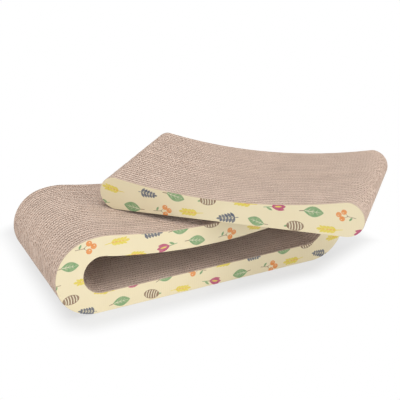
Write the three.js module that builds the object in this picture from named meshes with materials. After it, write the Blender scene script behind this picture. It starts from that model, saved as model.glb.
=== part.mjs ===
import * as THREE from 'three';

// A cat scratcher in two pieces. Each piece is a stack of die-cut corrugated boards, glued face to face,
// with a printed paper on its front and on its back. The base has a long slot, and the pad is the shape
// that comes out of the slot. The pad lies askew on top of the base.
// Millimetres, +Z up. The origin is the middle of the base's underside, X runs along the base and
// the printed front faces -Y.

const degrees = THREE.MathUtils.degToRad;

// Outline of the base's boards
const baseLength = 450;
const baseHeight = 110; // at the crests, one near each end
const baseCrestRadius = 100;
const baseSaddleDrop = 15; // from the crests down to the middle of the top
const endTurn = degrees(78); // how far a round end turns upwards before the crest takes over

// Board left around the slot
const floorBand = 29;
const endBand = 38;
const crestBand = 28.5;
const saddleBand = 30.5;
const slotCrestRadius = 16;

// The stack
const boardCount = 33;
const boardThickness = 5.84;
const boardsPerPadBlock = 3; // the pad's boards are glued up in blocks
const glueLine = 0.3;
const paperThickness = 0.7;
const paperTrim = 0.4; // from the paper's edge to the board's edge

// The pad, and where it lies
const padClearance = 2; // to the slot, all round
const padX = 81.2;
const padY = -58.5;
const padYaw = degrees(-46.8);
const seatGap = 0.3;

// Furthest that a flat facet lies from the curve that it stands for
const facetError = 0.35;

const boardPitch = boardThickness + glueLine;
const boardsDepth = boardCount * boardPitch - glueLine;
const stackDepth = boardsDepth + 2 * (glueLine + paperThickness);

const corrugatedBoard = () => new THREE.MeshStandardMaterial({ color: 0xcdb5a3, roughness: 0.95, metalness: 0 });
const printedPaper = () => new THREE.MeshStandardMaterial({ color: 0xece0bb, roughness: 0.8, metalness: 0 });

// The arcs of a board's outline, from its length, its height, the radius of its crests and the drop of
// its saddle. The underside is flat at bottom, and every arc runs on smoothly from the last one.
function bone(length, height, crestRadius, saddleDrop, bottom) {
  const rise = Math.sin(endTurn);
  const endRadius = (height - crestRadius * (1 - rise)) / (1 + rise);
  const endX = length / 2 - endRadius;
  const crestX = endX - (crestRadius - endRadius) * Math.cos(endTurn);
  const saddleRadius = (crestX ** 2 - 2 * crestRadius * saddleDrop + saddleDrop ** 2) / (2 * saddleDrop);
  const saddleZ = bottom + height - saddleDrop + saddleRadius;
  return { length, height, crestRadius, saddleDrop, bottom, endRadius, endX, crestX, saddleRadius, saddleZ };
}

// The same outline, moved inwards all round, or outwards where the distance is negative
function inset(shape, distance, bottom = shape.bottom + distance) {
  const { length, height, crestRadius, saddleDrop } = shape;
  return bone(length - 2 * distance, height - 2 * distance, crestRadius - distance, saddleDrop, bottom);
}

function arcPoints(x, z, radius, from, to) {
  const turn = 2 * Math.acos(1 - facetError / radius);
  const steps = Math.ceil(Math.abs(to - from) / turn);
  return new THREE.ArcCurve(x, z, radius, from, to, to < from).getPoints(steps);
}

// Points round an outline: right end, right crest, saddle, left crest, left end
function outlinePoints(shape) {
  const endZ = shape.bottom + shape.endRadius;
  const crestZ = shape.bottom + shape.height - shape.crestRadius;
  const blend = Math.atan2(shape.saddleZ - crestZ, -shape.crestX);
  const up = Math.PI / 2;
  const arcs = [
    arcPoints(shape.endX, endZ, shape.endRadius, -up, endTurn),
    arcPoints(shape.crestX, crestZ, shape.crestRadius, endTurn, up),
    arcPoints(shape.crestX, crestZ, shape.crestRadius, up, blend),
    arcPoints(0, shape.saddleZ, shape.saddleRadius, blend - Math.PI, -blend),
    arcPoints(-shape.crestX, crestZ, shape.crestRadius, Math.PI - blend, up),
    arcPoints(-shape.crestX, crestZ, shape.crestRadius, up, Math.PI - endTurn),
    arcPoints(-shape.endX, endZ, shape.endRadius, Math.PI - endTurn, 3 * up),
  ];
  return arcs.flatMap((points, index) => (index === 0 ? points : points.slice(1)));
}

// Height of an outline's top at a distance along it, between its crests
function topHeight(shape, x) {
  const blendX = shape.crestX * shape.saddleRadius / (shape.saddleRadius + shape.crestRadius);
  if (Math.abs(x) < blendX) {
    return shape.saddleZ - Math.sqrt(shape.saddleRadius ** 2 - x ** 2);
  }
  const crestZ = shape.bottom + shape.height - shape.crestRadius;
  return crestZ + Math.sqrt(shape.crestRadius ** 2 - (Math.abs(x) - shape.crestX) ** 2);
}

// One flat sheet, cut to an outline and with an optional hole, standing on edge
function sheet(name, outline, hole, thickness, material) {
  const shape = new THREE.Shape(outlinePoints(outline));
  if (hole) {
    shape.holes.push(new THREE.Path(outlinePoints(hole)));
  }
  const geometry = new THREE.ExtrudeGeometry(shape, { depth: thickness, bevelEnabled: false });
  const mesh = new THREE.Mesh(geometry, material);
  mesh.name = name;
  return mesh;
}

// Boards are numbered from the front: base_board_01 is one board, and pad_boards_01_03 a block of three.
function boardName(name, first, last) {
  const [from, to] = [first, last].map((number) => String(number).padStart(2, '0'));
  return first === last ? `${name}_board_${from}` : `${name}_boards_${from}_${to}`;
}

// A stack of boards, one by one or in blocks, between two printed papers, centred on Y
function stack(name, outline, hole, boardsPerBlock) {
  const sheets = new THREE.Group();
  sheets.rotation.x = Math.PI / 2;

  for (let first = 1; first <= boardCount; first += boardsPerBlock) {
    const last = Math.min(first + boardsPerBlock - 1, boardCount);
    const thickness = (last - first) * boardPitch + boardThickness;
    const block = sheet(boardName(name, first, last), outline, hole, thickness, corrugatedBoard());
    block.position.z = boardsDepth / 2 - thickness - (first - 1) * boardPitch;
    sheets.add(block);
  }

  const paperOutline = inset(outline, paperTrim);
  const paperHole = hole && inset(hole, -paperTrim);
  const front = sheet(`${name}_front_print`, paperOutline, paperHole, paperThickness, printedPaper());
  front.position.z = boardsDepth / 2 + glueLine;
  const back = sheet(`${name}_back_print`, paperOutline, paperHole, paperThickness, printedPaper());
  back.position.z = -stackDepth / 2;
  sheets.add(front, back);
  return sheets;
}

const baseOutline = bone(baseLength, baseHeight, baseCrestRadius, baseSaddleDrop, 0);
const slotOutline = bone(
  baseLength - 2 * endBand,
  baseHeight - floorBand - crestBand,
  slotCrestRadius,
  baseSaddleDrop + saddleBand - crestBand,
  floorBand,
);
const padOutline = inset(slotOutline, padClearance, 0);

// The pad leans on the base's right-hand crest, and the front corner of its left end dips to the saddle.
function padOnBase() {
  const corner = new THREE.Vector2(-padOutline.endX, -stackDepth / 2).rotateAround(new THREE.Vector2(), padYaw);
  const reach = baseOutline.crestX - (padX + corner.x);
  const dip = baseHeight - topHeight(baseOutline, baseOutline.crestX - reach);

  const pad = new THREE.Group();
  pad.add(stack('pad', padOutline, null, boardsPerPadBlock));
  pad.position.set(padX - baseOutline.crestX, padY, 0);
  pad.rotation.z = padYaw;

  const lean = new THREE.Group();
  lean.add(pad);
  lean.position.set(baseOutline.crestX, 0, baseHeight + seatGap);
  lean.rotation.y = -Math.asin(dip / reach);
  return lean;
}

const scratcher = new THREE.Group();
scratcher.name = 'cat_scratcher';
scratcher.add(stack('base', baseOutline, slotOutline, 1), padOnBase());

export default scratcher;
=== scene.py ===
"""Dresses the cat scratcher: fluted boards, printed papers, and a plain stage with its camera."""

import math
import random

import bpy
from bpy.props import FloatProperty, FloatVectorProperty, IntProperty, PointerProperty
from mathutils import Matrix, Vector
from mathutils.geometry import delaunay_2d_cdt


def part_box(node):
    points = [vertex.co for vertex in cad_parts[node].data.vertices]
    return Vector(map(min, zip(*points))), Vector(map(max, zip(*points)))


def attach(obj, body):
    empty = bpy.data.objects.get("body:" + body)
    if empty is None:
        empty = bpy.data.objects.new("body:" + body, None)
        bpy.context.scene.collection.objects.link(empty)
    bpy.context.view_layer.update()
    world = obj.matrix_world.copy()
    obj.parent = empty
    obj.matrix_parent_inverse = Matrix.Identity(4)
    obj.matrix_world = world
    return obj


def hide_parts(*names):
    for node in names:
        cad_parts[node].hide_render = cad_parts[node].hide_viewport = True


bl_info = {
    "name": "Cat Scratcher",
    "version": (1, 0, 0),
    "blender": (4, 5, 0),
    "location": "3D View > Sidebar > Scratcher",
    "description": "Builds a nesting cat scratcher of corrugated board with printed faces",
    "category": "Object",
}

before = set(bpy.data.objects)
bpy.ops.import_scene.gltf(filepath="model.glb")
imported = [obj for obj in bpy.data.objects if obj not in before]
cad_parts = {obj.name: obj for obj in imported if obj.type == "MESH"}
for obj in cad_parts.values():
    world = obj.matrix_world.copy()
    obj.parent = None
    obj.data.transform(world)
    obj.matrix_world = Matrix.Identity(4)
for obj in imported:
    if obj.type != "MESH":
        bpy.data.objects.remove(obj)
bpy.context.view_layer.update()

BOARD_LOW, BOARD_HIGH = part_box("base_board_01")
BOARD_THICKNESS = BOARD_HIGH.y - BOARD_LOW.y
BOARD_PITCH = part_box("base_board_02")[0].y - BOARD_LOW.y
STACK_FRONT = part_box("base_front_print")[0].y
IMAGE_PIXELS = 400  # across and down the photograph
SENSOR_MILLIMETRES = 36.0
WHITE = (1.0, 1.0, 1.0, 1.0)
FULL_TURN = 2 * math.pi
WELD = 1e-6  # points of a board closer than this become one
SHARP_EDGE = math.radians(55)  # edges that turn more than this stay crisp
CUT_LEAN = 0.05  # most that the normal of a cut edge leans out of its board's plane
DIE_MARGIN = 0.01  # how far a fluted sheet reaches past the die that cuts it
LINERS = 3.0  # flat sheets in a double-wall board
FLOOR_REACH = 12.0  # from the middle of the floor to each side
FLOOR_GAP = 0.0002  # from the floor up to the object

# How a sheet is cut into triangles: only inside its outlines, with points as near as this made one
INSIDE_OUTLINES = 1
SAME_POINT = 1e-7

# A mix node's sockets for colours, which share their names with those for other values
MIX_FACTOR = 0
MIX_FIRST = 6
MIX_SECOND = 7
MIX_RESULT = 2


# Settings

def size(name, description, default):
    """A length in metres that a user may change."""
    return FloatProperty(
        name=name, description=description, default=default, subtype="DISTANCE", unit="LENGTH", precision=5
    )


def angle(name, description, degrees):
    """An angle that a user may change."""
    return FloatProperty(name=name, description=description, default=math.radians(degrees), subtype="ANGLE")


def share(name, description, default):
    """A plain number that a user may change."""
    return FloatProperty(name=name, description=description, default=default, subtype="FACTOR", min=0.0)


def location(name, description, default):
    """A place in metres that a user may change."""
    return FloatVectorProperty(
        name=name, description=description, default=default, subtype="TRANSLATION", unit="LENGTH", size=3
    )


def watts(name, description, default):
    """A lamp's power that a user may change."""
    return FloatProperty(name=name, description=description, default=default, subtype="POWER", unit="POWER")


def colour(name, description, default):
    """A linear colour that a user may change."""
    return FloatVectorProperty(
        name=name, description=description, default=default, subtype="COLOR", size=3, min=0.0, max=1.0
    )


class ScratcherOutline(bpy.types.PropertyGroup):
    """Sizes of the die-cut outlines, and where the pad lies."""

    base_length: size("Base length", "From end to end", BOARD_HIGH.x - BOARD_LOW.x)
    base_height: size("Base height", "At the crests", BOARD_HIGH.z - BOARD_LOW.z)
    base_crest_radius: size("Base crest radius", "Roundness of the crests", 0.100)
    base_saddle_drop: size("Base saddle drop", "From the crests to the middle of the top", 0.015)
    end_turn: angle("End turn", "How far a round end turns upwards before the crest", 78.0)
    floor_band: size("Floor band", "Board under the slot", 0.029)
    end_band: size("End band", "Board beside the slot", 0.038)
    crest_band: size("Crest band", "Board above the slot at the crests", 0.0285)
    saddle_band: size("Saddle band", "Board above the slot at mid length", 0.0305)
    slot_crest_radius: size("Slot crest radius", "Roundness of the slot's upper corners", 0.016)
    pad_clearance: size("Pad clearance", "From the pad to the slot, all round", 0.002)
    pad_x: size("Pad X", "Middle of the pad along the base", 0.0812)
    pad_y: size("Pad Y", "Middle of the pad across the base", -0.0585)
    pad_yaw: angle("Pad yaw", "How far the pad is turned on the base", -46.8)
    seat_gap: size("Seat gap", "From the base's crest to the pad", 0.0003)
    paper_trim: size("Paper trim", "From the board's edge to the paper's edge", 0.0004)
    facet_error: size("Facet error", "Furthest that a facet lies from its curve", 0.00006)


class ScratcherBoard(bpy.types.PropertyGroup):
    """Make-up and finish of the double-wall boards."""

    liner: size("Liner", "Thickness of a flat liner", 0.00045)
    medium: size("Medium", "Thickness of a fluted sheet", 0.00028)
    wide_pitch: size("Wide flute pitch", "Crest to crest in the wide flutes", 0.0042)
    narrow_pitch: size("Narrow flute pitch", "Crest to crest in the narrow flutes", 0.0030)
    wide_share: share("Wide share", "Wide flutes' share of the height between liners", 0.70)
    flute_steps: IntProperty(name="Flute steps", description="Facets in one flute", default=8, min=4)
    die_wear: size("Die wear", "Most that one board is cut smaller than another", 0.0003)
    tone_spread: share("Tone spread", "How much one board's tone differs from another's", 0.05)
    liner_tone: share("Liner tone", "Usual tone of a liner, from dark to pale", 0.40)
    # The fluted sheets are darker partly as their own paper and partly as painted shade in the flutes'
    # hollows.
    medium_tint_and_painted_shade: share("Medium shade", "How much darker the fluted sheets are", 0.30)
    # Cut edges are paler as fuzzed fibres, and the faces inside the flutes are kept darker as painted shade
    # in the hollows.
    cut_fuzz_and_painted_shade: share("Cut fuzz", "How much paler the cut edges are", 0.60)
    seed: IntProperty(name="Seed", description="Where each board's flutes fall", default=7)
    pale: colour("Pale kraft", "Palest tone of the board", (0.91, 0.74, 0.62))
    dark: colour("Dark kraft", "Darkest tone of the board", (0.52, 0.385, 0.31))
    fleck: colour("Fleck", "Flecks in the board", (0.286, 0.21175, 0.1705))


class ScratcherPrint(bpy.types.PropertyGroup):
    """Layout and inks of the printed papers."""

    motif_length: size("Motif length", "Length of a printed motif", 0.0285)
    column_pitch: size("Column pitch", "Between motifs along a row", 0.046)
    row_pitch: size("Row pitch", "Between rows of motifs", 0.0225)
    first_row: size("First row", "From the lower edge up to the first row", 0.007875)
    wander: size("Wander", "How far a motif strays from its row", 0.0035)
    tilt: angle("Tilt", "How far a motif tilts from its row", 16.0)
    smallest: share("Smallest", "Scale of the smallest motif", 0.88)
    largest: share("Largest", "Scale of the largest motif", 1.06)
    washboard: share("Washboard", "How far the board's flutes show through the paper", 0.6)
    seed: IntProperty(name="Seed", description="How the motifs fall", default=3)
    paper_tone: share("Paper tone", "Usual tone of the paper, from dull to clear", 0.5)
    paper: colour("Paper", "Cream of the paper", (0.845, 0.75, 0.53))
    dull_paper: colour("Dull paper", "Cream of the paper's duller patches", (0.80275, 0.6975, 0.4558))
    leaf: colour("Leaf green", "Ink of the leaves", (0.20, 0.36, 0.17))
    berry: colour("Berry orange", "Ink of the berries", (0.78, 0.28, 0.075))
    straw: colour("Straw yellow", "Ink of the ears of grain", (0.76, 0.62, 0.09))
    slate: colour("Slate blue", "Ink of the fronds", (0.105, 0.125, 0.175))
    bark: colour("Bark brown", "Ink of the seeds and stems", (0.24, 0.145, 0.095))
    petal: colour("Petal pink", "Ink of the buds", (0.47, 0.06, 0.17))
    bare: colour("Pale ink", "Ink of ribs and highlights", (0.82, 0.75, 0.56))
    core: colour("Core", "Cut edge of the paper", (0.46, 0.34, 0.27))


class ScratcherStage(bpy.types.PropertyGroup):
    """Camera, lamps and floor."""

    aim_height: size("Aim height", "Height of the point that the lamps aim at", 0.060)
    distance: size("Distance", "From the camera to the point that the lamps aim at", 1.193964)
    azimuth: angle("Azimuth", "Camera's turn about the object", -26.781)
    elevation: angle("Elevation", "Camera's height above the horizon", 22.196)
    roll: angle("Roll", "Camera's lean", -0.234)
    focal_pixels: FloatProperty(name="Focal length", description="In pixels of the image", default=799.57)
    aim_across: FloatProperty(name="Aim across", description="Pixel column of that point", default=180.10)
    aim_down: FloatProperty(name="Aim down", description="Pixel row of that point", default=220.61)
    top_watts: watts("Top", "Overhead lamp's power", 20.8)
    top_place: location("Top place", "Where the overhead lamp hangs", (0.0, -0.35, 2.0))
    top_breadth: size("Top breadth", "Width of the overhead lamp", 1.6)
    left_watts: watts("Left", "Left-hand lamp's power", 6.6)
    left_place: location("Left place", "Where the left-hand lamp stands", (-1.5, -1.4, 0.6))
    right_watts: watts("Right", "Right-hand lamp's power", 9.4)
    right_place: location("Right place", "Where the right-hand lamp stands", (1.2, -1.7, 0.5))
    side_breadth: size("Side breadth", "Width of the lamps at the sides", 1.0)
    sky: share("Sky", "Strength of the light from all round", 0.68)
    floor: colour("Floor", "Colour of the floor", (0.70, 0.70, 0.70))
    # The floor around the base carries a painted shadow: an even grey glow that only the camera sees, mixed
    # over the lamps' own shadows and bounded by the sizes below.
    floor_painted_shadow: colour("Floor shade", "Even grey of the floor around the base", (0.85, 0.85, 0.85))
    floor_painted_shadow_share: share("Floor haze", "Share of that grey, beside the shadows that the lamps cast", 0.80)
    floor_left: size("Floor left", "How far left of the middle the shaded floor reaches", 0.182)
    floor_right: size("Floor right", "How far right of the middle the shaded floor reaches", 0.257)
    floor_back: size("Floor back", "How far behind the middle the shaded floor reaches", 0.196)
    floor_cut: size("Floor cut", "How far right of the middle its front right corner is cut off", 0.145)
    floor_slant: angle("Floor slant", "How far that cut is turned from the front", 21.1)
    floor_near: size("Floor near", "How far out from there the floor starts to turn plain white", 0.016)
    floor_far: size("Floor far", "How far out from there the floor is plain white", 0.0575)


# Die-cut outlines

class Bone:
    """A board's outline: a flat underside, round ends, a crest near each end and a saddle between them."""

    def __init__(self, length, height, crest_radius, saddle_drop, end_turn, bottom):
        rise = math.sin(end_turn)
        self.length = length
        self.height = height
        self.crest_radius = crest_radius
        self.saddle_drop = saddle_drop
        self.end_turn = end_turn
        self.bottom = bottom
        self.end_radius = (height - crest_radius * (1 - rise)) / (1 + rise)
        self.end_x = length / 2 - self.end_radius
        self.crest_x = self.end_x - (crest_radius - self.end_radius) * math.cos(end_turn)
        self.crest_z = bottom + height - crest_radius
        spread = self.crest_x**2 - 2 * crest_radius * saddle_drop + saddle_drop**2
        self.saddle_radius = spread / (2 * saddle_drop)
        self.saddle_z = bottom + height - saddle_drop + self.saddle_radius

    def inset(self, distance, bottom=None):
        """The same outline, moved inwards all round, or outwards where the distance is negative."""
        return Bone(
            self.length - 2 * distance,
            self.height - 2 * distance,
            self.crest_radius - distance,
            self.saddle_drop,
            self.end_turn,
            self.bottom + distance if bottom is None else bottom,
        )

    def top(self, x):
        """Height of the top at a distance along the board, between the crests."""
        blend_x = self.crest_x * self.saddle_radius / (self.saddle_radius + self.crest_radius)
        if abs(x) < blend_x:
            return self.saddle_z - math.sqrt(self.saddle_radius**2 - x**2)
        return self.crest_z + math.sqrt(self.crest_radius**2 - (abs(x) - self.crest_x) ** 2)

    def points(self, facet_error):
        """The outline as points, anticlockwise from the right-hand end of the underside."""
        up = math.pi / 2
        turn = self.end_turn
        end_z = self.bottom + self.end_radius
        blend = math.atan2(self.saddle_z - self.crest_z, -self.crest_x)
        arcs = (
            (self.end_x, end_z, self.end_radius, -up, turn),
            (self.crest_x, self.crest_z, self.crest_radius, turn, blend),
            (0.0, self.saddle_z, self.saddle_radius, blend - math.pi, -blend),
            (-self.crest_x, self.crest_z, self.crest_radius, math.pi - blend, math.pi - turn),
            (-self.end_x, end_z, self.end_radius, math.pi - turn, 3 * up),
        )
        made = []
        for x, z, radius, start, stop in arcs:
            step = 2 * math.acos(1 - facet_error / radius)
            count = math.ceil(abs(stop - start) / step)
            for index in range(1 if made else 0, count + 1):
                turned = start + (stop - start) * index / count
                made.append(Vector((x + radius * math.cos(turned), z + radius * math.sin(turned))))
        return made


def outlines(sizes):
    """The outlines of the base, its slot and the pad."""
    base = Bone(
        sizes.base_length,
        sizes.base_height,
        sizes.base_crest_radius,
        sizes.base_saddle_drop,
        sizes.end_turn,
        0.0,
    )
    slot = Bone(
        sizes.base_length - 2 * sizes.end_band,
        sizes.base_height - sizes.floor_band - sizes.crest_band,
        sizes.slot_crest_radius,
        sizes.base_saddle_drop + sizes.saddle_band - sizes.crest_band,
        sizes.end_turn,
        sizes.floor_band,
    )
    return base, slot, slot.inset(sizes.pad_clearance, bottom=0.0)


def pad_place(sizes):
    """Where the pad lies: on the right-hand crest, with its left front corner down on the saddle."""
    base, _, pad = outlines(sizes)
    corner = Matrix.Rotation(sizes.pad_yaw, 3, "Z") @ Vector((-pad.end_x, STACK_FRONT, 0.0))
    reach = base.crest_x - (sizes.pad_x + corner.x)
    dip = base.height - base.top(base.crest_x - reach)
    crest = Matrix.Translation((base.crest_x, 0.0, base.height + sizes.seat_gap))
    lean = Matrix.Rotation(-math.asin(dip / reach), 4, "Y")
    along = Matrix.Translation((sizes.pad_x - base.crest_x, sizes.pad_y, 0.0))
    return crest @ lean @ along @ Matrix.Rotation(sizes.pad_yaw, 4, "Z")


def depth_range(node, place):
    """How near and how far a sheet lies in its own stack, from its solid in the frame."""
    back = place.inverted()
    depths = [(back @ vertex.co).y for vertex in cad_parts[node].data.vertices]
    return min(depths), max(depths)


def board_backs(node, place):
    """How far back each board lies that a node's solid stands for, one board or a glued block of them."""
    near, far = depth_range(node, place)
    count = round((far - near) / BOARD_PITCH)
    return [near + number * BOARD_PITCH + BOARD_THICKNESS for number in range(count)]


def standing(depth):
    """Stands a sheet that was made lying down on its edge, with its upper side to the front."""
    return Matrix.Translation((0.0, depth, 0.0)) @ Matrix.Rotation(math.pi / 2, 4, "X")


# Node trees

def add(tree, kind, inputs=None, **settings):
    """Adds a node, sets its properties, and links or sets its inputs."""
    node = tree.nodes.new(kind)
    for name, value in settings.items():
        setattr(node, name, value)
    for key, value in (inputs or {}).items():
        if isinstance(value, bpy.types.NodeSocket):
            tree.links.new(value, node.inputs[key])
        else:
            node.inputs[key].default_value = value
    return node


def maths(tree, operation, first, second=0.0):
    """The result of a math node."""
    return add(tree, "ShaderNodeMath", {0: first, 1: second}, operation=operation).outputs[0]


def vector_maths(tree, operation, first, second, output="Vector"):
    """The result of a vector math node, a vector or a plain value."""
    node = add(tree, "ShaderNodeVectorMath", {0: first, 1: second}, operation=operation)
    return node.outputs[output]


def new_geometry_tree(name, numbers, others=()):
    """An empty geometry tree with named inputs, and the sockets of its group input node."""
    tree = bpy.data.node_groups.new(name, "GeometryNodeTree")
    for label, kind in others:
        tree.interface.new_socket(label, in_out="INPUT", socket_type=kind)
    for label in numbers:
        tree.interface.new_socket(label, in_out="INPUT", socket_type="NodeSocketFloat")
    tree.interface.new_socket("Geometry", in_out="OUTPUT", socket_type="NodeSocketGeometry")
    return tree, tree.nodes.new("NodeGroupInput").outputs


def joined(tree, *geometries):
    """Several geometries as one."""
    join = tree.nodes.new("GeometryNodeJoinGeometry")
    for geometry in geometries:
        tree.links.new(geometry, join.inputs[0])
    return join.outputs[0]


def stored(tree, geometry, name, value, domain):
    """A geometry that carries a named number."""
    inputs = {"Geometry": geometry, "Name": name, "Value": value}
    return add(tree, "GeometryNodeStoreNamedAttribute", inputs, domain=domain).outputs[0]


def thickened(tree, sheet, depth):
    """A closed solid, made by pushing a sheet along its normals."""
    inputs = {"Mesh": sheet, "Offset Scale": depth, "Individual": False}
    pushed = add(tree, "GeometryNodeExtrudeMesh", inputs)
    under = add(tree, "GeometryNodeFlipFaces", {"Mesh": sheet})
    both = joined(tree, pushed.outputs["Mesh"], under.outputs["Mesh"])
    return add(tree, "GeometryNodeMergeByDistance", {"Geometry": both, "Distance": WELD}).outputs[0]


def die_cut_tree():
    """A slab of the outline's shape, lying at a level."""
    tree, given = new_geometry_tree(
        "die_cut_slab", ("Level", "Depth"), (("Outline", "NodeSocketGeometry"),)
    )
    curve = add(tree, "GeometryNodeMeshToCurve", {"Mesh": given["Outline"]})
    fill = add(tree, "GeometryNodeFillCurve", {"Curve": curve.outputs[0]}, mode="TRIANGLES")
    slab = thickened(tree, fill.outputs[0], given["Depth"])
    level = add(tree, "ShaderNodeCombineXYZ", {"Z": given["Level"]})
    moved = add(tree, "GeometryNodeTransform", {"Geometry": slab, "Translation": level.outputs[0]})
    add(tree, "NodeGroupOutput", {"Geometry": moved.outputs[0]})
    return tree


def fluted_sheet_tree():
    """A wavy sheet of paper that rises from a level, with its flutes along Y."""
    tree, given = new_geometry_tree(
        "fluted_sheet", ("Length", "Width", "Level", "Rise", "Paper", "Pitch", "Phase", "Steps")
    )
    flutes = maths(tree, "DIVIDE", given["Length"], given["Pitch"])
    columns = maths(tree, "MULTIPLY", flutes, given["Steps"])
    inputs = {"Size X": given["Length"], "Size Y": given["Width"], "Vertices X": columns, "Vertices Y": 2}
    grid = add(tree, "GeometryNodeMeshGrid", inputs)
    place = tree.nodes.new("GeometryNodeInputPosition")
    x = add(tree, "ShaderNodeSeparateXYZ", {0: place.outputs[0]}).outputs["X"]
    turn = maths(tree, "MULTIPLY", maths(tree, "DIVIDE", x, given["Pitch"]), FULL_TURN)
    wave = maths(tree, "SINE", maths(tree, "ADD", turn, given["Phase"]))
    half_rise = maths(tree, "MULTIPLY", maths(tree, "SUBTRACT", given["Rise"], given["Paper"]), 0.5)
    middle = maths(tree, "ADD", given["Level"], half_rise)
    height = maths(tree, "ADD", maths(tree, "MULTIPLY", wave, half_rise), middle)
    offset = add(tree, "ShaderNodeCombineXYZ", {"Z": height})
    waved = add(tree, "GeometryNodeSetPosition", {"Geometry": grid.outputs[0], "Offset": offset.outputs[0]})
    add(tree, "NodeGroupOutput", {"Geometry": thickened(tree, waved.outputs[0], given["Paper"])})
    return tree


def board_tree():
    """A double-wall board: three liners and two fluted sheets, die-cut to an outline."""
    tree, given = new_geometry_tree(
        "corrugated_board",
        (
            "Length",
            "Width",
            "Thickness",
            "Liner",
            "Medium",
            "Wide pitch",
            "Narrow pitch",
            "Wide share",
            "Wide phase",
            "Narrow phase",
            "Steps",
            "Liner tone",
            "Medium tone",
        ),
        (("Outline", "NodeSocketGeometry"), ("Finish", "NodeSocketMaterial")),
    )
    slab_group = die_cut_tree()
    sheet_group = fluted_sheet_tree()

    def slab(level, depth):
        """A flat sheet of the board's outline."""
        inputs = {"Outline": given["Outline"], "Level": level, "Depth": depth}
        return add(tree, "GeometryNodeGroup", inputs, node_tree=slab_group).outputs[0]

    die = slab(0.0, given["Thickness"])

    def flutes(level, rise, pitch, phase):
        """A fluted sheet, cut by the die."""
        inputs = {
            "Length": given["Length"],
            "Width": given["Width"],
            "Level": level,
            "Rise": rise,
            "Paper": given["Medium"],
            "Pitch": pitch,
            "Phase": phase,
            "Steps": given["Steps"],
        }
        sheet = add(tree, "GeometryNodeGroup", inputs, node_tree=sheet_group)
        cut = add(tree, "GeometryNodeMeshBoolean", operation="INTERSECT", solver="MANIFOLD")
        tree.links.new(sheet.outputs[0], cut.inputs["Mesh 2"])
        tree.links.new(die, cut.inputs["Mesh 2"])
        return cut.outputs["Mesh"]

    liner = given["Liner"]
    hollow = maths(tree, "SUBTRACT", given["Thickness"], maths(tree, "MULTIPLY", liner, LINERS))
    wide = maths(tree, "MULTIPLY", hollow, given["Wide share"])
    narrow = maths(tree, "SUBTRACT", hollow, wide)
    middle_liner = maths(tree, "ADD", liner, wide)
    narrow_level = maths(tree, "ADD", middle_liner, liner)
    last_liner = maths(tree, "ADD", narrow_level, narrow)
    liners = joined(tree, slab(0.0, liner), slab(middle_liner, liner), slab(last_liner, liner))
    mediums = joined(
        tree,
        flutes(liner, wide, given["Wide pitch"], given["Wide phase"]),
        flutes(narrow_level, narrow, given["Narrow pitch"], given["Narrow phase"]),
    )
    layers = joined(
        tree,
        stored(tree, liners, "tone", given["Liner tone"], "POINT"),
        # The fluted sheets' tone carries their darkening: their own tint and painted shade in the hollows.
        stored(tree, mediums, "tone", given["Medium tone"], "POINT"),
    )
    normal = add(tree, "ShaderNodeSeparateXYZ", {0: tree.nodes.new("GeometryNodeInputNormal").outputs[0]})
    upright = maths(tree, "LESS_THAN", maths(tree, "ABSOLUTE", normal.outputs["Z"]), CUT_LEAN)
    # Upright faces are the cut edges; the other faces, mostly inside the flutes, get painted shade in the
    # material.
    cut = stored(tree, layers, "cut", upright, "FACE")
    real = add(tree, "GeometryNodeRealizeInstances", {"Geometry": cut})
    inputs = {"Geometry": real.outputs[0], "Material": given["Finish"]}
    finished = add(tree, "GeometryNodeSetMaterial", inputs)
    add(tree, "NodeGroupOutput", {"Geometry": finished.outputs[0]})
    return tree


# Finishes

def new_material(name):
    """An empty node material and its shader tree."""
    material = bpy.data.materials.new(name)
    material.use_nodes = True
    material.node_tree.nodes.clear()
    return material, material.node_tree


def object_place(tree):
    """Where a shaded point lies in its object."""
    return tree.nodes.new("ShaderNodeTexCoord").outputs["Object"]


def carried(tree, name):
    """A number that the mesh carries."""
    return add(tree, "ShaderNodeAttribute", attribute_name=name).outputs["Fac"]


def noise(tree, place, scale, detail, roughness=0.5):
    """Noise about a half, at so many features to the metre."""
    inputs = {"Vector": place, "Scale": scale, "Detail": detail, "Roughness": roughness}
    return add(tree, "ShaderNodeTexNoise", inputs).outputs[0]


def swing(tree, value, amount):
    """Noise made to swing about nothing by an amount."""
    return maths(tree, "MULTIPLY", maths(tree, "SUBTRACT", value, 0.5), amount)


def total(tree, *values):
    """Several values added up."""
    result = values[0]
    for value in values[1:]:
        result = maths(tree, "ADD", result, value)
    return result


def stretched(tree, value, low, high, start, stop, interpolation="LINEAR"):
    """A value that runs from low to high, made to run from start to stop."""
    inputs = {"Value": value, "From Min": low, "From Max": high, "To Min": start, "To Max": stop}
    return add(tree, "ShaderNodeMapRange", inputs, interpolation_type=interpolation).outputs[0]


def mixed(tree, factor, first, second):
    """Two colours mixed."""
    inputs = {MIX_FACTOR: factor, MIX_FIRST: first, MIX_SECOND: second}
    node = add(tree, "ShaderNodeMix", inputs, data_type="RGBA", clamp_factor=True)
    return node.outputs[MIX_RESULT]


def mixed_shader(tree, factor, first, second):
    """Two shader nodes mixed."""
    inputs = {0: factor, 1: first.outputs[0], 2: second.outputs[0]}
    return add(tree, "ShaderNodeMixShader", inputs)


def opaque(value):
    """A colour with its alpha."""
    return (*value, 1.0)


def surface(tree, colour_socket, roughness, bump):
    """A matt paper surface."""
    inputs = {
        "Base Color": colour_socket,
        "Roughness": roughness,
        "Specular IOR Level": 0.25,
        "Normal": bump,
    }
    shader = add(tree, "ShaderNodeBsdfPrincipled", inputs)
    add(tree, "ShaderNodeOutputMaterial", {"Surface": shader.outputs[0]})


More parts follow.
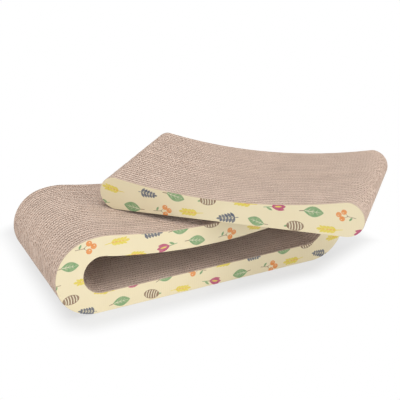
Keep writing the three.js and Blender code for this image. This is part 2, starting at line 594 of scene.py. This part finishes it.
def kraft_material(finish):
    """Brown kraft paper: fibres, flecks, a tone of its own for each board, paler cut edges, and painted
    shade in the flutes' hollows.
    """
    material, tree = new_material("kraft_board")
    place = object_place(tree)
    fibre = noise(tree, place, scale=1600.0, detail=5.0, roughness=0.65)
    cloud = noise(tree, place, scale=38.0, detail=3.0)
    # Cut edges are made paler, as fuzzed fibres; the faces inside the flutes stay darker, as painted shade
    # in the hollows.
    fuzz_and_painted_shade = maths(tree, "MULTIPLY", carried(tree, "cut"), finish.cut_fuzz_and_painted_shade)
    unevenness = total(tree, swing(tree, fibre, amount=1.5), swing(tree, cloud, amount=0.5))
    level = total(tree, unevenness, carried(tree, "tone"), fuzz_and_painted_shade, finish.liner_tone)
    kraft = mixed(tree, level, opaque(finish.dark), opaque(finish.pale))
    specks = noise(tree, place, scale=620.0, detail=1.0)
    cover = stretched(tree, specks, low=0.68, high=0.76, start=0.0, stop=0.35)
    flecked = mixed(tree, cover, kraft, opaque(finish.fleck))
    bump = add(tree, "ShaderNodeBump", {"Strength": 0.35, "Distance": 0.0003, "Height": fibre})
    surface(tree, flecked, roughness=0.93, bump=bump.outputs[0])
    return material


def paper_material(finish):
    """Cream paper with its inks in a colour attribute, a little uneven as print is, over faint flutes."""
    material, tree = new_material("printed_cream_paper")
    place = object_place(tree)
    tooth = noise(tree, place, scale=2200.0, detail=4.0, roughness=0.6)
    cloud = noise(tree, place, scale=24.0, detail=3.0)
    unevenness = total(tree, swing(tree, tooth, amount=0.5), swing(tree, cloud, amount=0.9))
    level = total(tree, unevenness, finish.paper_tone)
    cream = mixed(tree, level, opaque(finish.dull_paper), opaque(finish.paper))
    ink = add(tree, "ShaderNodeAttribute", attribute_name="ink")
    blot = noise(tree, place, scale=210.0, detail=4.0, roughness=0.6)
    hold = stretched(tree, blot, low=0.3, high=0.7, start=0.78, stop=1.0)
    cover = maths(tree, "MULTIPLY", ink.outputs["Alpha"], hold)
    printed = mixed(tree, cover, cream, ink.outputs["Color"])
    wave = maths(tree, "SINE", maths(tree, "MULTIPLY", carried(tree, "flute"), FULL_TURN))
    relief = total(tree, tooth, maths(tree, "MULTIPLY", wave, finish.washboard))
    bump = add(tree, "ShaderNodeBump", {"Strength": 0.2, "Distance": 0.0002, "Height": relief})
    surface(tree, printed, roughness=0.72, bump=bump.outputs[0])
    return material


def seen_ray(tree):
    """One for rays from the camera, straight or by way of a mirror or glass, and none for other light."""
    path = tree.nodes.new("ShaderNodeLightPath")
    looks = maths(tree, "MAXIMUM", path.outputs["Is Camera Ray"], path.outputs["Is Glossy Ray"])
    return maths(tree, "MAXIMUM", looks, path.outputs["Is Transmission Ray"])


def floor_whiteness(tree, stage):
    """How white the floor is, by its distance from a box around the base with one corner cut off."""
    place = object_place(tree)
    low = (-stage.floor_left, STACK_FRONT, 0.0)
    high = (stage.floor_right, stage.floor_back, 0.0)
    nearest = vector_maths(tree, "MINIMUM", vector_maths(tree, "MAXIMUM", place, low), high)
    from_box = vector_maths(tree, "DISTANCE", place, nearest, "Value")
    corner = (stage.floor_cut, STACK_FRONT, 0.0)
    slant = (math.sin(stage.floor_slant), -math.cos(stage.floor_slant), 0.0)
    beside = vector_maths(tree, "SUBTRACT", place, corner)
    past_cut = vector_maths(tree, "DOT_PRODUCT", beside, slant, "Value")
    away = maths(tree, "MAXIMUM", from_box, past_cut)
    # Within floor_near of the box the floor keeps its painted shadow and the lamps' shadows, and by
    # floor_far it is plain white.
    return stretched(tree, away, stage.floor_near, stage.floor_far, 0.0, 1.0, "SMOOTHSTEP")


def floor_material(stage):
    """A pale floor, shaded around the base by the lamps and by a painted shadow, that turns plain white
    away from it.
    """
    material, tree = new_material("pale_floor")
    matt = add(tree, "ShaderNodeBsdfDiffuse", {"Color": opaque(stage.floor)})
    # This grey glow, seen by camera rays only, is a painted shadow around the base.
    grey = add(tree, "ShaderNodeEmission", {"Color": opaque(stage.floor_painted_shadow), "Strength": 1.0})
    white = add(tree, "ShaderNodeEmission", {"Color": WHITE, "Strength": 1.0})
    seen = seen_ray(tree)
    painted_shadow_mix = maths(tree, "MULTIPLY", seen, stage.floor_painted_shadow_share)
    lift = maths(tree, "MULTIPLY", seen, floor_whiteness(tree, stage))
    shaded = mixed_shader(tree, painted_shadow_mix, matt, grey)
    seen_floor = mixed_shader(tree, lift, shaded, white)
    add(tree, "ShaderNodeOutputMaterial", {"Surface": seen_floor.outputs[0]})
    return material


# Printed motifs, each a list of inks and shapes about the middle, one unit long

def blade(start, stop, width, steps=14, taper=0.85):
    """A pointed leaf shape from one point to another."""
    start = Vector(start)
    along = Vector(stop) - start
    across = Vector((-along.y, along.x)).normalized() * width / 2
    edge = [math.sin(math.pi * index / steps) ** taper for index in range(steps + 1)]
    lower = [start + along * index / steps - across * edge[index] for index in range(steps)]
    upper = [start + along * index / steps + across * edge[index] for index in range(steps, 0, -1)]
    return lower + upper


def bar(start, stop, width, end_width):
    """A straight line, broad at its start."""
    start = Vector(start)
    stop = Vector(stop)
    along = (stop - start).normalized()
    half_start = Vector((-along.y, along.x)) / 2 * width
    half_stop = Vector((-along.y, along.x)) / 2 * end_width
    return [start - half_start, stop - half_stop, stop + half_stop, start + half_start]


def oval(middle, length, width, steps=26):
    """An oval that lies along X."""
    turns = [FULL_TURN * index / steps for index in range(steps)]
    rim = [Vector((math.cos(turn) * length, math.sin(turn) * width)) / 2 for turn in turns]
    return [Vector(middle) + point for point in rim]


def band(x, breadth, length, width, steps=8, reach=0.86, bow=0.05):
    """A stripe across an oval, a little short of its edge, and bowed as on a round body."""
    half_width = math.sqrt(1 - (2 * x / length) ** 2) * width / 2
    heights = [reach * (1 - 2 * index / steps) for index in range(steps + 1)]
    front = [Vector((x - bow * (1 - height**2), height * half_width)) for height in heights]
    back = [point + Vector((breadth, 0.0)) for point in reversed(front)]
    return front + back


def leaf_motif():
    """A broad leaf with its ribs and stalk."""
    shapes = [
        ("bark", bar((-0.60, -0.05), (-0.36, 0.0), 0.028, 0.045)),
        ("leaf", blade((-0.40, 0.0), (0.48, 0.0), 0.50)),
        ("bare", bar((-0.34, 0.0), (0.38, 0.0), 0.030, 0.008)),
    ]
    for step in range(3):
        x = -0.22 + 0.18 * step
        reach = 0.13 - 0.02 * step
        for side in (1, -1):
            shapes.append(("bare", bar((x, side * 0.012), (x + reach, side * reach), 0.016, 0.006)))
    return shapes


def berry_motif():
    """Three round berries on a forked stalk."""
    shapes = [
        ("bark", bar((-0.52, 0.02), (-0.05, 0.0), 0.030, 0.024)),
        ("bark", bar((-0.12, 0.0), (0.10, 0.15), 0.022, 0.018)),
        ("bark", bar((-0.12, 0.0), (0.06, -0.15), 0.022, 0.018)),
        ("leaf", blade((-0.34, 0.02), (-0.20, 0.24), 0.11)),
    ]
    for middle in ((0.16, 0.19), (0.12, -0.19), (0.36, 0.0)):
        x, y = middle
        shapes.append(("berry", oval(middle, 0.29, 0.28)))
        shapes.append(("bare", oval((x + 0.03, y + 0.045), 0.06, 0.04, 10)))
    return shapes


def ear_motif():
    """A plump ear of grain on its straw."""
    shapes = [("straw", bar((-0.62, -0.05), (-0.26, 0.0), 0.028, 0.050))]
    for step in range(4):
        x = -0.30 + 0.17 * step
        for side in (-1, 1):
            shapes.append(("straw", blade((x, 0.0), (x + 0.26, side * 0.17), 0.125)))
    shapes.append(("straw", blade((0.34, 0.0), (0.62, 0.0), 0.14)))
    shapes.append(("berry", bar((-0.26, 0.0), (0.44, 0.0), 0.030, 0.012)))
    return shapes


def frond_motif():
    """A stalk with pairs of narrow leaves."""
    shapes = [("slate", bar((-0.52, 0.0), (0.40, 0.0), 0.032, 0.014))]
    for step in range(5):
        x = -0.36 + 0.16 * step
        reach = 0.26 - 0.028 * step
        for side in (-1, 1):
            shapes.append(("slate", blade((x, 0.0), (x + 0.75 * reach, side * reach), 0.135)))
    shapes.append(("slate", blade((0.34, 0.0), (0.54, 0.0), 0.10)))
    return shapes


def seed_motif():
    """A plump seed with pale stripes and a tip."""
    length = 0.86
    width = 0.52
    shapes = [
        ("leaf", blade((0.36, 0.0), (0.56, 0.05), 0.10)),
        ("bark", oval((0.0, 0.0), length, width)),
    ]
    for x in (-0.27, -0.13, 0.01, 0.15, 0.28):
        shapes.append(("bare", band(x, 0.05, length, width)))
    return shapes


def bud_motif():
    """A closed flower on its stalk."""
    return [
        ("leaf", bar((-0.56, -0.03), (-0.10, 0.0), 0.030, 0.040)),
        ("leaf", blade((-0.42, -0.02), (-0.14, -0.19), 0.11)),
        ("petal", blade((-0.16, 0.0), (0.44, 0.17), 0.22)),
        ("petal", blade((-0.16, 0.0), (0.44, -0.17), 0.22)),
        ("petal", blade((-0.16, 0.0), (0.52, 0.0), 0.30)),
        ("straw", blade((-0.02, 0.0), (0.34, 0.0), 0.08)),
    ]


MOTIFS = (leaf_motif, berry_motif, ear_motif, frond_motif, leaf_motif, seed_motif, ear_motif, bud_motif)


def scattered_motifs(finish, half_length, height, seed):
    """Motifs in staggered rows, each a little off its mark, from one end of a sheet to the other."""
    dice = random.Random(seed)
    rows = math.ceil(height / finish.row_pitch) + 1
    columns = math.ceil(half_length / finish.column_pitch) + 1
    placed = []
    for row in range(rows):
        for column in range(-columns, columns + 1):
            half_steps = 2 * column + row % 2
            x = half_steps * finish.column_pitch / 2 + dice.uniform(-1, 1) * finish.wander
            y = finish.first_row + row * finish.row_pitch + dice.uniform(-0.5, 0.5) * finish.wander
            turn = Matrix.Rotation(dice.uniform(-1, 1) * finish.tilt + math.pi * dice.randint(0, 1), 2)
            scale = finish.motif_length * dice.uniform(finish.smallest, finish.largest)
            # Each row starts three or four motifs further on, so that no motif stands above itself.
            choice = column + 3 * row + row // 2 + seed
            for ink, shape in MOTIFS[choice % len(MOTIFS)]():
                placed.append((ink, [Vector((x, y)) + turn @ (point * scale) for point in shape]))
    return placed


# Sheets

def cut_out(loops, shapes):
    """A sheet's points, its triangles, and the number of the last outline that covers each triangle."""
    points = []
    faces = []
    for outline in [*loops, *shapes]:
        faces.append(list(range(len(points), len(points) + len(outline))))
        points.extend(outline)
    spots, _, found, _, _, owners = delaunay_2d_cdt(points, [], faces, INSIDE_OUTLINES, SAME_POINT)
    # The first outline is the sheet's own, and a second loop is its hole.
    hole = 1 if len(loops) == 2 else None
    kept = [index for index, owner in enumerate(owners) if 0 in owner and hole not in owner]
    used = sorted({corner for index in kept for corner in found[index]})
    number = {corner: index for index, corner in enumerate(used)}
    triangles = [[number[corner] for corner in found[index]] for index in kept]
    return [spots[corner] for corner in used], triangles, [max(owners[index]) for index in kept]


def sheet_mesh(name, loops, depth, motifs, finish, flute_pitch):
    """A closed sheet whose upper side carries the motifs, cut off at its edges. A second loop is a hole."""
    spots, triangles, tops = cut_out(loops, [shape for _, shape in motifs])
    count = len(spots)
    upper = [(spot.x, spot.y, depth) for spot in spots]
    lower = [(spot.x, spot.y, 0.0) for spot in spots]
    unders = [[corner + count for corner in reversed(triangle)] for triangle in triangles]
    edges = {(triangle[index - 1], triangle[index]) for triangle in triangles for index in range(3)}
    rims = [(a + count, b + count, b, a) for a, b in edges if (b, a) not in edges]
    mesh = bpy.data.meshes.new(name)
    mesh.from_pydata(upper + lower, [], [*triangles, *unders, *sorted(rims)])

    bare = (*finish.paper, 0.0)
    inks = [bare for _ in loops] + [opaque(getattr(finish, ink)) for ink, _ in motifs]
    shades = [inks[top] for top in tops for _ in range(3)]
    shades.extend([bare] * len(shades))
    shades.extend([opaque(finish.core)] * (len(mesh.loops) - len(shades)))
    colours = mesh.color_attributes.new("ink", "FLOAT_COLOR", "CORNER")
    colours.data.foreach_set("color", [part for shade in shades for part in shade])
    flutes = mesh.attributes.new("flute", "FLOAT", "POINT")
    flutes.data.foreach_set("value", [x / flute_pitch for x, _, _ in upper + lower])
    mesh.validate()
    return mesh


def outline_object(loops):
    """An object of closed loops of edges, for the geometry tree to fill."""
    points = []
    edges = []
    for loop in loops:
        first = len(points)
        points.extend((point.x, point.y, 0.0) for point in loop)
        edges.extend((first + index, first + (index + 1) % len(loop)) for index in range(len(loop)))
    mesh = bpy.data.meshes.new("die_outline")
    mesh.from_pydata(points, edges, [])
    return bpy.data.objects.new("die_outline", mesh)


def set_inputs(modifier, values):
    """Sets a modifier's inputs by the names that its tree gives them."""
    for item in modifier.node_group.interface.items_tree:
        if item.item_type == "SOCKET" and item.in_out == "INPUT" and item.name in values:
            modifier[item.identifier] = values[item.name]


def fluted_mesh(context, name, loops, values):
    """A board's plain mesh, made by the board tree from the loops of its die."""
    host = outline_object(loops)
    context.scene.collection.objects.link(host)
    modifier = host.modifiers.new("board", "NODES")
    modifier.node_group = bpy.data.node_groups.get("corrugated_board") or board_tree()
    set_inputs(modifier, values)
    graph = context.evaluated_depsgraph_get()
    mesh = bpy.data.meshes.new_from_object(host.evaluated_get(graph))
    mesh.name = name
    bpy.data.objects.remove(host)
    if not mesh.polygons:
        raise RuntimeError(f"{name} came out empty")
    return mesh


def dress(context, name, mesh, node, body):
    """Shows a finished mesh in place of a node, moving with its body."""
    mesh.shade_smooth()
    mesh.set_sharp_from_angle(angle=SHARP_EDGE)
    piece = bpy.data.objects.new(name, mesh)
    context.scene.collection.objects.link(piece)
    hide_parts(node)
    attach(piece, body)


def make_boards(context, body, outline, hole, place):
    """Every board of a stack. Its flutes start anywhere, as in boards that are cut from one long sheet."""
    sizes = context.scene.scratcher_outline
    make_up = context.scene.scratcher_board
    nodes = sorted(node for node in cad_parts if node.startswith(f"{body}_board"))
    boards = [(node, back) for node in nodes for back in board_backs(node, place)]
    if not boards:
        raise RuntimeError(f"the frame has no boards for the {body}")
    shared = {
        "Length": outline.length + 2 * DIE_MARGIN,
        "Width": 2 * (outline.height + DIE_MARGIN),
        "Thickness": BOARD_THICKNESS,
        "Liner": make_up.liner,
        "Medium": make_up.medium,
        "Wide pitch": make_up.wide_pitch,
        "Narrow pitch": make_up.narrow_pitch,
        "Wide share": make_up.wide_share,
        "Steps": float(make_up.flute_steps),
        "Finish": bpy.data.materials.get("kraft_board") or kraft_material(make_up),
    }
    dice = random.Random(f"{body}{make_up.seed}")
    for number, (node, back) in enumerate(boards, start=1):
        wear = dice.uniform(0, make_up.die_wear) if 1 < number < len(boards) else 0.0
        tone = dice.uniform(-1, 1) * make_up.tone_spread
        own = {
            "Liner tone": tone,
            # Fluted sheets are set darker: their own tint plus painted shade in the hollows.
            "Medium tone": tone - make_up.medium_tint_and_painted_shade,
            "Wide phase": dice.uniform(0, FULL_TURN),
            "Narrow phase": dice.uniform(0, FULL_TURN),
        }
        shapes = [outline.inset(wear, bottom=outline.bottom)]
        if hole:
            shapes.append(hole.inset(-wear))
        name = f"{body}_fluted_board_{number:02d}"
        loops = [shape.points(sizes.facet_error) for shape in shapes]
        mesh = fluted_mesh(context, name, loops, {**shared, **own})
        mesh.transform(place @ standing(back))
        dress(context, name, mesh, node, body)


def make_papers(context, body, outline, hole, place, seeds):
    """The printed papers on a stack's front and back, each with a seed of its own."""
    sizes = context.scene.scratcher_outline
    make_up = context.scene.scratcher_board
    finish = context.scene.scratcher_print
    paper = bpy.data.materials.get("printed_cream_paper") or paper_material(finish)
    trimmed = [outline.inset(sizes.paper_trim)]
    if hole:
        trimmed.append(hole.inset(-sizes.paper_trim))
    loops = [shape.points(sizes.facet_error) for shape in trimmed]
    about = Matrix.Rotation(math.pi, 4, "Z")
    for side, seed in seeds.items():
        node = f"{body}_{side}_print"
        near, far = depth_range(node, place)
        motifs = scattered_motifs(finish, outline.length / 2, outline.height, finish.seed + seed)
        name = f"{body}_{side}_paper"
        if side == "front":
            flute_pitch = make_up.narrow_pitch
            stood = standing(far)
        else:
            flute_pitch = make_up.wide_pitch
            stood = about @ standing(-near)
        mesh = sheet_mesh(name, loops, far - near, motifs, finish, flute_pitch)
        mesh.materials.append(paper)
        mesh.transform(place @ stood)
        dress(context, name, mesh, node, body)


# Operators

class SCRATCHER_OT_stage(bpy.types.Operator):
    """Make the camera, the lamps and a pale floor with a painted shadow around the base"""

    bl_idname = "scratcher.stage"
    bl_label = "Stage"

    def execute(self, context):
        stage = context.scene.scratcher_stage
        aim = Vector((0.0, 0.0, stage.aim_height))
        self.add_camera(context, stage, aim)
        self.add_lamp(context, "top_lamp", stage.top_place, aim, stage.top_breadth, stage.top_watts)
        self.add_lamp(context, "left_lamp", stage.left_place, aim, stage.side_breadth, stage.left_watts)
        self.add_lamp(context, "right_lamp", stage.right_place, aim, stage.side_breadth, stage.right_watts)
        self.add_sky(context, stage)
        self.add_floor(context, stage)
        context.scene.view_settings.view_transform = "Standard"
        return {"FINISHED"}

    def add_camera(self, context, stage, aim):
        """A camera at the photograph's viewing angle."""
        turn = stage.azimuth
        rise = stage.elevation
        back = Vector((math.sin(turn) * math.cos(rise), -math.cos(turn) * math.cos(rise), math.sin(rise)))
        level = Vector((math.cos(turn), math.sin(turn), 0.0))
        upright = back.cross(level)
        right = level * math.cos(stage.roll) + upright * math.sin(stage.roll)
        up = upright * math.cos(stage.roll) - level * math.sin(stage.roll)
        across = (stage.aim_across - IMAGE_PIXELS / 2) / stage.focal_pixels
        above = (IMAGE_PIXELS / 2 - stage.aim_down) / stage.focal_pixels
        place = aim + (back - right * across - up * above) * stage.distance
        data = bpy.data.cameras.new("camera")
        data.sensor_width = SENSOR_MILLIMETRES
        data.lens = stage.focal_pixels / IMAGE_PIXELS * SENSOR_MILLIMETRES
        camera = bpy.data.objects.new("camera", data)
        axes = Matrix((right, up, back)).transposed().to_4x4()
        camera.matrix_world = Matrix.Translation(place) @ axes
        context.scene.collection.objects.link(camera)
        context.scene.camera = camera

    def add_lamp(self, context, name, place, aim, breadth, power):
        """A broad soft lamp that points at the object."""
        data = bpy.data.lights.new(name, "AREA")
        data.energy = power
        data.size = breadth
        lamp = bpy.data.objects.new(name, data)
        lamp.location = place
        lamp.rotation_euler = (aim - lamp.location).to_track_quat("-Z", "Y").to_euler()
        context.scene.collection.objects.link(lamp)

    def add_sky(self, context, stage):
        """Even light from all round, white where the camera looks."""
        world = bpy.data.worlds.new("studio")
        world.use_nodes = True
        tree = world.node_tree
        tree.nodes.clear()
        seen = seen_ray(tree)
        strength = maths(tree, "ADD", maths(tree, "MULTIPLY", seen, 1.0 - stage.sky), stage.sky)
        sky = add(tree, "ShaderNodeBackground", {"Color": WHITE, "Strength": strength})
        add(tree, "ShaderNodeOutputWorld", {"Surface": sky.outputs[0]})
        context.scene.world = world

    def add_floor(self, context, stage):
        """A wide floor just under the object."""
        signs = ((-1, -1), (1, -1), (1, 1), (-1, 1))
        corners = [(x * FLOOR_REACH, y * FLOOR_REACH, -FLOOR_GAP) for x, y in signs]
        mesh = bpy.data.meshes.new("floor")
        mesh.from_pydata(corners, [], [(0, 1, 2, 3)])
        mesh.materials.append(floor_material(stage))
        floor = bpy.data.objects.new("floor", mesh)
        context.scene.collection.objects.link(floor)


class SCRATCHER_OT_base_boards(bpy.types.Operator):
    """Make the base's fluted boards, each with the slot cut out"""

    bl_idname = "scratcher.base_boards"
    bl_label = "Base boards"

    def execute(self, context):
        base, slot, _ = outlines(context.scene.scratcher_outline)
        make_boards(context, "base", base, slot, Matrix.Identity(4))
        return {"FINISHED"}


class SCRATCHER_OT_pad_boards(bpy.types.Operator):
    """Make the pad's fluted boards, each the slot's cut-out"""

    bl_idname = "scratcher.pad_boards"
    bl_label = "Pad boards"

    def execute(self, context):
        sizes = context.scene.scratcher_outline
        _, _, pad = outlines(sizes)
        make_boards(context, "pad", pad, None, pad_place(sizes))
        return {"FINISHED"}


class SCRATCHER_OT_papers(bpy.types.Operator):
    """Make the printed papers on the front and back of the base and the pad"""

    bl_idname = "scratcher.papers"
    bl_label = "Printed papers"

    def execute(self, context):
        sizes = context.scene.scratcher_outline
        base, slot, pad = outlines(sizes)
        make_papers(context, "base", base, slot, Matrix.Identity(4), seeds={"front": 4, "back": 9})
        make_papers(context, "pad", pad, None, pad_place(sizes), seeds={"front": 0, "back": 5})
        return {"FINISHED"}


class SCRATCHER_PT_panel(bpy.types.Panel):
    """Settings of the scratcher, and the operators that build it"""

    bl_label = "Cat Scratcher"
    bl_idname = "SCRATCHER_PT_panel"
    bl_space_type = "VIEW_3D"
    bl_region_type = "UI"
    bl_category = "Scratcher"

    def draw(self, context):
        for operator in OPERATORS:
            self.layout.operator(operator.bl_idname)
        for name in SETTINGS:
            box = self.layout.box()
            settings = getattr(context.scene, name)
            for key in settings.__annotations__:
                box.prop(settings, key)


SETTINGS = {
    "scratcher_outline": ScratcherOutline,
    "scratcher_board": ScratcherBoard,
    "scratcher_print": ScratcherPrint,
    "scratcher_stage": ScratcherStage,
}
OPERATORS = (
    SCRATCHER_OT_stage,
    SCRATCHER_OT_base_boards,
    SCRATCHER_OT_pad_boards,
    SCRATCHER_OT_papers,
)


def register():
    """Adds the settings, the operators and the panel."""
    for name, group in SETTINGS.items():
        bpy.utils.register_class(group)
        setattr(bpy.types.Scene, name, PointerProperty(type=group))
    for kind in (*OPERATORS, SCRATCHER_PT_panel):
        bpy.utils.register_class(kind)


def unregister():
    """Takes the panel, the operators and the settings away again."""
    for kind in (SCRATCHER_PT_panel, *reversed(OPERATORS)):
        bpy.utils.unregister_class(kind)
    for name, group in SETTINGS.items():
        delattr(bpy.types.Scene, name)
        bpy.utils.unregister_class(group)


def main():
    """Builds everything."""
    register()
    bpy.ops.scratcher.stage()
    bpy.ops.scratcher.base_boards()
    bpy.ops.scratcher.pad_boards()
    bpy.ops.scratcher.papers()


if __name__ == "__main__":
    main()
